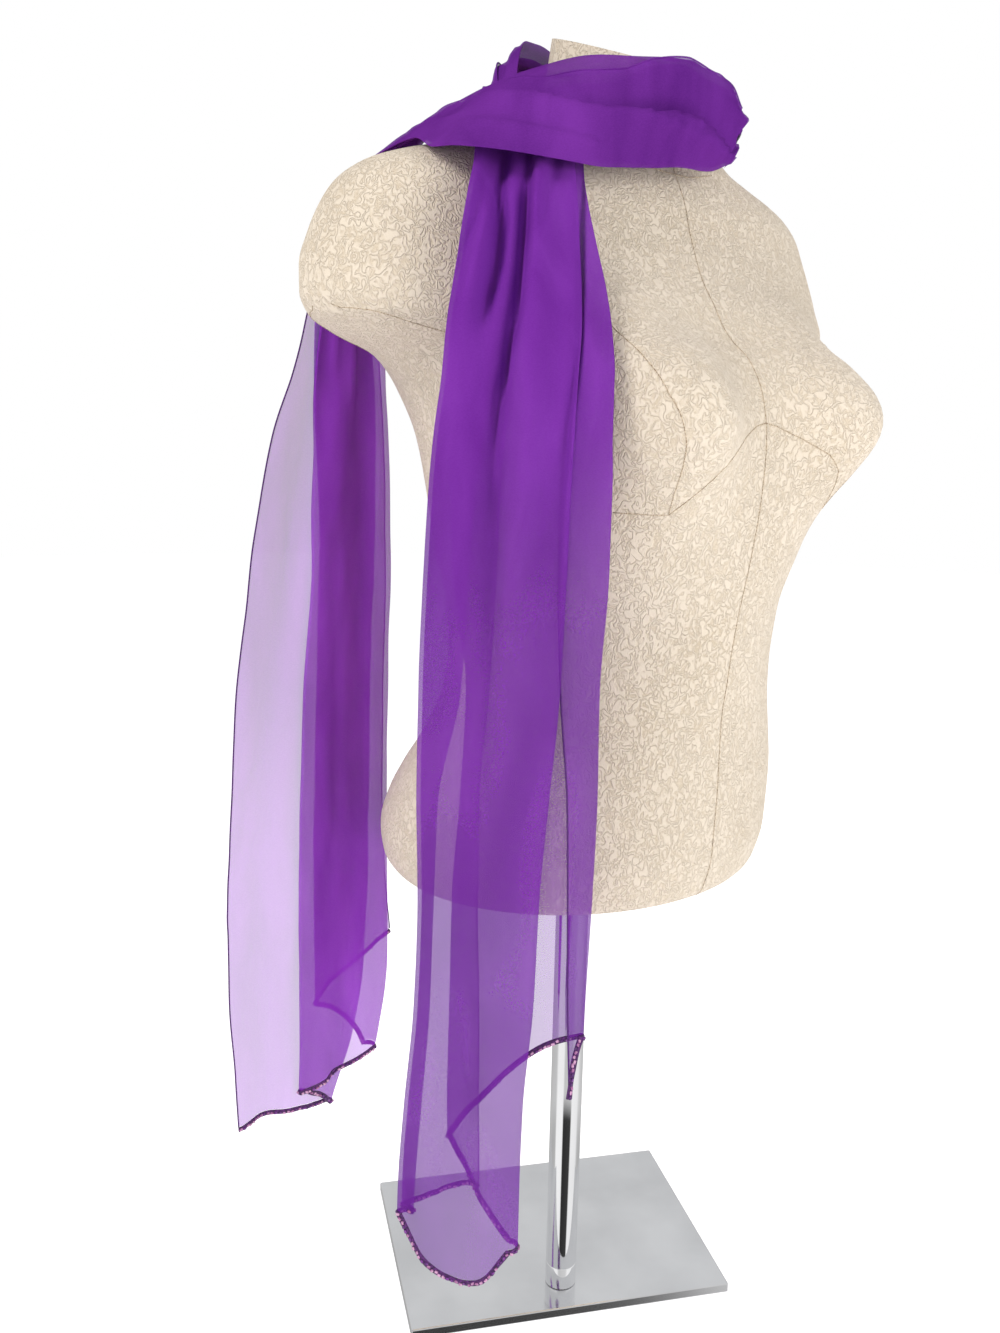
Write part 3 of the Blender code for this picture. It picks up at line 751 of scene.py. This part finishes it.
linen, nodes, links, shader = new_material("linen_cover")
place_l = nodes.new("ShaderNodeTexCoord").outputs["Object"]
wave = noise(nodes, links, stretched(nodes, links, place_l, (1, 1, 0.8)), 215, 1.0, 1.3, 0.4)
ridge = math_node(nodes, links, "ABSOLUTE", math_node(nodes, links, "SUBTRACT", wave, 0.5))
crackle = math_node(nodes, links, "MINIMUM", math_node(nodes, links, "MULTIPLY", ridge, 9.0), 1.0)
weave = noise(nodes, links, place_l, 1500, 1)
patch = noise(nodes, links, place_l, 9, 2)
tone = math_node(nodes, links, "MULTIPLY", weave, 0.30)
tone = math_node(nodes, links, "MULTIPLY_ADD", patch, 0.35, tone)
tone = math_node(nodes, links, "MULTIPLY_ADD", crackle, 0.30, tone)
colour = ramp(nodes, links, tone, (
    (0.18, (0.52, 0.42, 0.30)), (0.44, (0.71, 0.61, 0.485)), (0.78, (0.79, 0.695, 0.58)),
))
links.new(colour, shader.inputs["Base Color"])
relief = math_node(nodes, links, "MULTIPLY_ADD", weave, 0.35, crackle)
links.new(bump(nodes, links, relief, 0.75, 0.0008), shader.inputs["Normal"])
shader.inputs["Roughness"].default_value = 0.88
shader.inputs["Sheen Weight"].default_value = 0.12
shader.inputs["Specular IOR Level"].default_value = 0.2

seam_thread, nodes, links, shader = new_material("seam_thread")
place_s = nodes.new("ShaderNodeTexCoord").outputs["Object"]
twist = noise(nodes, links, place_s, 900, 1)
colour = ramp(nodes, links, twist, ((0.35, (0.26, 0.18, 0.11)), (0.6, (0.62, 0.50, 0.36))))
links.new(colour, shader.inputs["Base Color"])
shader.inputs["Roughness"].default_value = 0.85

chrome, nodes, links, shader = new_material("chrome_plate")
place_c = nodes.new("ShaderNodeTexCoord").outputs["Object"]
smudge = noise(nodes, links, place_c, 14, 3)
links.new(ramp(nodes, links, smudge, ((0.3, (0.66, 0.66, 0.67)), (0.7, (0.78, 0.78, 0.79)))), shader.inputs["Base Color"])
shader.inputs["Metallic"].default_value = 1.0
shader.inputs["Roughness"].default_value = 0.13

polished, nodes, links, shader = new_material("chrome_pole")
place_p = nodes.new("ShaderNodeTexCoord").outputs["Object"]
smudge = noise(nodes, links, stretched(nodes, links, place_p, (1, 1, 0.2)), 60, 3)
links.new(ramp(nodes, links, smudge, ((0.3, (0.80, 0.80, 0.81)), (0.7, (0.88, 0.88, 0.89)))), shader.inputs["Base Color"])
shader.inputs["Metallic"].default_value = 1.0
shader.inputs["Roughness"].default_value = 0.05


# ---------------------------------------------------------------- form and stand
def body_point(angle, height):
    """Places on one level section of the form, with the bust and the slant of the neck's top."""
    half_width, centre_y, front, behind = (
        float(BODY.read(name, np.array([float(height)]))[0])
        for name in ("half_width", "centre_y", "front", "back")
    )
    x = half_width * np.cos(angle)
    depth = np.where(np.sin(angle) < 0, front, behind)
    y = centre_y + depth * np.sin(angle)
    facing = np.clip(-3 * np.sin(angle), 0, 1)
    rise = ((height - BUST_HEIGHT) / BUST_SPREAD_UP) ** 2
    for side in (-1, 1):
        offset = ((x - side * BUST_ACROSS) / BUST_SPREAD_ACROSS) ** 2
        y = y - BUST_REACH * np.exp(-offset - rise) * facing
    slant = min(max((height - NECK_START) / (NECK_TOP - NECK_START), 0.0), 1.0)
    slant = slant * slant * (3 - 2 * slant)
    z = height + slant * NECK_TOP_SLOPE * (y - NECK_CENTRE_Y)
    return np.stack([x, y, z], axis=-1)


turn_angles = np.linspace(0, 2 * math.pi, BODY_SIDES + 1)
ring_heights = [BODY.at[0]]
for low_row, high_row in zip(BODY.at[:-1], BODY.at[1:]):
    ring_heights += [
        low_row + (high_row - low_row) * (step + 1) / BODY_RINGS_PER_ROW for step in range(BODY_RINGS_PER_ROW)
    ]
bm = grid_mesh(np.stack([body_point(turn_angles, height) for height in ring_heights]))
bmesh.ops.remove_doubles(bm, verts=bm.verts, dist=1e-3)
rims = [edge for edge in bm.edges if edge.is_boundary]
for edge in rims:
    edge.smooth = False
bmesh.ops.holes_fill(bm, edges=rims)
bmesh.ops.recalc_face_normals(bm, faces=bm.faces)
cover_shape = BVHTree.FromBMesh(bm)
cover = finish_mesh("linen_cover", bm, linen)
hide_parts("form_body")

threads = bmesh.new()


def lay_seam(points, direction=(0, 1, 0), start=-400.0):
    """Lay a stitched thread over the cover, seen from the front."""
    spaced = []
    for (x0, z0), (x1, z1) in zip(points[:-1], points[1:]):
        count = max(2, int(math.hypot(x1 - x0, z1 - z0) / 3))
        spaced += [(x0 + (x1 - x0) * i / count, z0 + (z1 - z0) * i / count) for i in range(count)]
    spaced.append(points[-1])
    found = []
    for x, z in spaced:
        hit, normal, _, _ = cover_shape.ray_cast(Vector((x, start, z)), Vector(direction))
        if hit is not None:
            found.append(np.array(hit + normal * 0.1))
    if len(found) > 2:
        join_into(threads, tube(found, 0.26, 0.26, 6, reference=(0.3, 1, 0.2)))


lay_seam(CENTRE_SEAM)
lay_seam([(x, z) for x, z in CENTRE_SEAM if z < 880], direction=(0, -1, 0), start=400.0)
for mirror in (1, -1):
    for seam in (CUP_SEAM, UNDER_SEAM, STUMP_SEAM):
        lay_seam([(x * mirror, z) for x, z in seam])
    lay_seam([(x * mirror, z) for x, z in STUMP_SEAM], direction=(0, -1, 0), start=400.0)
lay_seam(NECK_SEAM)
seams = finish_mesh("cover_seams", threads, seam_thread)


POLE_RADIUS = 12.5
POLE_ENDS = (27.6, 379.7)
COLLAR_ENDS = (8.3, 27.3)


def turned(name, radius, bottom, top, bevel, material, node):
    """A round bar on the pole's axis, with bevelled rims."""
    bm = bmesh.new()
    bmesh.ops.create_cone(bm, cap_ends=True, segments=96, radius1=radius, radius2=radius, depth=top - bottom)
    bmesh.ops.translate(bm, vec=(0, 0, (bottom + top) / 2), verts=bm.verts)
    rims = [edge for edge in bm.edges if edge.calc_face_angle(0) > 1]
    bmesh.ops.bevel(
        bm, geom=rims, offset=bevel, offset_type="OFFSET",
        segments=2, profile=0.5, affect="EDGES", material=-1,
    )
    piece = finish_mesh(name, bm, material)
    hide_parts(node)


turned("pole_tube", POLE_RADIUS, *POLE_ENDS, 0.3, polished, "pole")
turned("pole_collar", POLE_RADIUS, *COLLAR_ENDS, 0.8, polished, "pole_sleeve")
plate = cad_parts["base_plate"]
plate.data.materials.clear()
plate.data.materials.append(chrome)


# ---------------------------------------------------------------- scarf
def bead_run(tail, name_band, name_beads, node, seed):
    """The bead edging of one end: a stitched band and the small beads sewn on it."""
    chance = np.random.default_rng(seed)
    band = finish_mesh(name_band, tube(hem_line(tail, 2.2), 2.0, 0.8, 10), bead_dark)
    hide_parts(node)
    line = hem_line(tail, 2.4)
    steps = np.linalg.norm(np.diff(line, axis=0), axis=1)
    reach = np.concatenate([[0], np.cumsum(steps)])
    one = bmesh.new()
    bmesh.ops.create_cube(one, size=1.0)
    bmesh.ops.bevel(
        one, geom=one.edges[:], offset=0.22, offset_type="OFFSET",
        segments=2, profile=0.5, affect="EDGES", material=-1,
    )
    one_mesh = bpy.data.meshes.new("bead")
    one.to_mesh(one_mesh)
    one.free()
    groups = (bmesh.new(), bmesh.new())
    place = 1.6
    while place < reach[-1] - 1.5:
        at = np.array([np.interp(place, reach, line[:, k]) for k in range(3)])
        after = np.array([np.interp(place + 0.8, reach, line[:, k]) for k in range(3)])
        direction = Vector(after - at).normalized()
        sideways = direction.cross(Vector((0, 0, 1))).normalized()
        upward = sideways.cross(direction)
        for face in (-1, 1):
            long = chance.uniform(1.9, 2.6)
            lift = chance.uniform(-0.9, 0.5)
            tilt = chance.uniform(-0.35, 0.35)
            turn = Matrix((
                (direction.x, upward.x, sideways.x, at[0]),
                (direction.y, upward.y, sideways.y, at[1]),
                (direction.z, upward.z, sideways.z, at[2]),
                (0, 0, 0, 1),
            ))
            local = (
                Matrix.Translation((chance.uniform(-0.3, 0.3), lift, face * 1.0))
                @ Matrix.Rotation(tilt, 4, "Z")
                @ Matrix.Diagonal((long, 1.5, 1.2, 1.0))
            )
            target = groups[0 if chance.random() < 0.6 else 1]
            before = len(target.verts)
            target.from_mesh(one_mesh)
            target.verts.ensure_lookup_table()
            bmesh.ops.transform(target, matrix=turn @ local, verts=target.verts[before:])
        place += 3.1
    bpy.data.meshes.remove(one_mesh)
    made = [band]
    for group, tint, material in zip(groups, ("pink", "plum"), (bead_pink, bead_plum)):
        beads = finish_mesh(name_beads + "_" + tint, group, material)
        made.append(beads)
    return made


def hem_tube(name, line, material, radius=0.55):
    piece = finish_mesh(name, tube(line, radius, radius, 8, reference=(0.7, 0.7, 0.1)), material)
    return piece


def hang_tail(tail, name, node, bead_node, seed, chiffon, last_hem):
    surface = tail_surface(tail)
    sheet = finish_mesh(name, grid_mesh(surface), chiffon)
    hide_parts(node)
    extras = bead_run(tail, name + "_band", name + "_beads", bead_node, seed)
    extras.append(hem_tube(name + "_hem_a", surface[:, 0], hem_thread))
    extras.append(hem_tube(name + "_hem_b", surface[:, -1], last_hem, 0.4))


def wrap_neck(table, folds, pleats, name, node, seed):
    surface = stretch_surface(table, folds, pleats, seed)
    sheet = finish_mesh(name, grid_mesh(surface), neck_chiffon_painted_shade)
    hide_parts(node)
    extras = [
        hem_tube(name + "_hem_a", surface[:, 0], neck_chiffon_painted_shade, 0.5),
        hem_tube(name + "_hem_b", surface[:, -1], neck_chiffon_painted_shade, 0.5),
    ]


hang_tail(
    FRONT, "front_tail", "scarf_front_tail", "front_bead_edge",
    5, front_chiffon, front_chiffon,
)
hang_tail(
    BACK, "back_tail", "scarf_back_tail", "back_bead_edge",
    9, back_chiffon_painted_light, hem_thread,
)
wrap_neck(
    NECK_FRONT, NECK_FRONT_FOLDS, NECK_FRONT_PLEATS, "neck_front", "scarf_neck_front",
    4,
)
wrap_neck(
    NECK_BACK, NECK_BACK_FOLDS, NECK_BACK_PLEATS, "neck_back", "scarf_neck_back",
    6,
)

# ---------------------------------------------------------------- floor and light
floor_material, nodes, links, shader = new_material("studio_floor")
shader.inputs["Base Color"].default_value = (0.93, 0.93, 0.93, 1)
shader.inputs["Roughness"].default_value = 0.9
shader.inputs["Emission Color"].default_value = (1, 1, 1, 1)
shader.inputs["Emission Strength"].default_value = 0.52
bm = bmesh.new()
bmesh.ops.create_circle(bm, cap_ends=True, segments=96, radius=6.0)
floor_mesh = bpy.data.meshes.new("studio_floor")
bm.to_mesh(floor_mesh)
bm.free()
floor_mesh.materials.append(floor_material)
floor = bpy.data.objects.new("studio_floor", floor_mesh)
floor.visible_glossy = False
scene.collection.objects.link(floor)

world = bpy.data.worlds.new("studio")
scene.world = world
world.use_nodes = True
nodes, links = world.node_tree.nodes, world.node_tree.links
background = nodes["Background"]
rays = nodes.new("ShaderNodeLightPath")
coords = nodes.new("ShaderNodeTexCoord").outputs["Generated"]
spun = nodes.new("ShaderNodeMapping")
spun.inputs["Rotation"].default_value = (0, 0, math.radians(135))
links.new(coords, spun.inputs["Vector"])
radial = nodes.new("ShaderNodeTexGradient")
radial.gradient_type = "RADIAL"
links.new(spun.outputs["Vector"], radial.inputs["Vector"])


def around(degrees):
    """Place on the ramp of a direction, in degrees to the right of the one towards the viewer."""
    return degrees / 360 + 0.5


stripes = ramp(nodes, links, radial.outputs["Fac"], (
    (0.0, (0.42,)), (around(-80), (0.50,)), (around(-70), (1.0,)), (around(-22), (1.0,)),
    (around(-16), (0.03,)), (around(38), (0.05,)), (around(46), (1.0,)), (around(92), (0.95,)),
    (around(110), (0.55,)), (1.0, (0.30,)),
))
pale = ramp(nodes, links, radial.outputs["Fac"], (
    (0.0, (0.5,)), (around(-80), (0.62,)), (around(-66), (1.0,)), (around(-24), (1.0,)),
    (around(-12), (0.62,)), (around(34), (0.70,)), (around(48), (1.0,)), (around(92), (0.95,)),
    (around(110), (0.72,)), (1.0, (0.45,)),
))
parts = nodes.new("ShaderNodeSeparateXYZ")
links.new(coords, parts.inputs[0])
steep = nodes.new("ShaderNodeMapRange")
steep.inputs["From Min"].default_value = -0.60
steep.inputs["From Max"].default_value = -0.55
links.new(parts.outputs["Z"], steep.inputs["Value"])
banded = nodes.new("ShaderNodeMixRGB")
links.new(steep.outputs["Result"], banded.inputs[0])
links.new(stripes, banded.inputs[1])
links.new(pale, banded.inputs[2])
overhead = nodes.new("ShaderNodeMapRange")
overhead.inputs["From Min"].default_value = 0.25
overhead.inputs["From Max"].default_value = 0.40
links.new(parts.outputs["Z"], overhead.inputs["Value"])
ceiling = nodes.new("ShaderNodeMixRGB")
links.new(overhead.outputs["Result"], ceiling.inputs[0])
links.new(banded.outputs[0], ceiling.inputs[1])
ceiling.inputs[2].default_value = (0.74, 0.75, 0.76, 1)
lit = nodes.new("ShaderNodeMixRGB")
links.new(rays.outputs["Is Glossy Ray"], lit.inputs[0])
lit.inputs[1].default_value = (0.54, 0.54, 0.545, 1)
links.new(ceiling.outputs[0], lit.inputs[2])
seen = nodes.new("ShaderNodeMixRGB")
links.new(rays.outputs["Is Camera Ray"], seen.inputs[0])
links.new(lit.outputs[0], seen.inputs[1])
seen.inputs[2].default_value = (1.0, 1.0, 1.0, 1)
links.new(seen.outputs[0], background.inputs["Color"])


def soft_light(name, spot, target, size, power, tint=(1, 1, 1)):
    data = bpy.data.lights.new(name, "AREA")
    data.shape = "DISK"
    data.size = size
    data.energy = power
    data.color = tint
    lamp = bpy.data.objects.new(name, data)
    lamp.location = from_view(spot)
    lamp.rotation_euler = (from_view(target) - lamp.location).to_track_quat("-Z", "Y").to_euler()
    lamp.visible_glossy = False
    lamp.visible_camera = False
    scene.collection.objects.link(lamp)


soft_light("key", (-1.1, -1.2, 1.9), (0, 0, 0.65), 0.7, 19, (1.0, 0.985, 0.96))
soft_light("fill", (1.3, -1.0, 1.0), (0, 0, 0.6), 1.0, 11)
soft_light("rim", (0.4, 1.4, 1.7), (0, 0, 0.7), 1.0, 8)

# Rays may pass this many see-through layers
scene.cycles.transparent_max_bounces = 32
scene.view_settings.view_transform = "Standard"
scene.view_settings.look = "None"
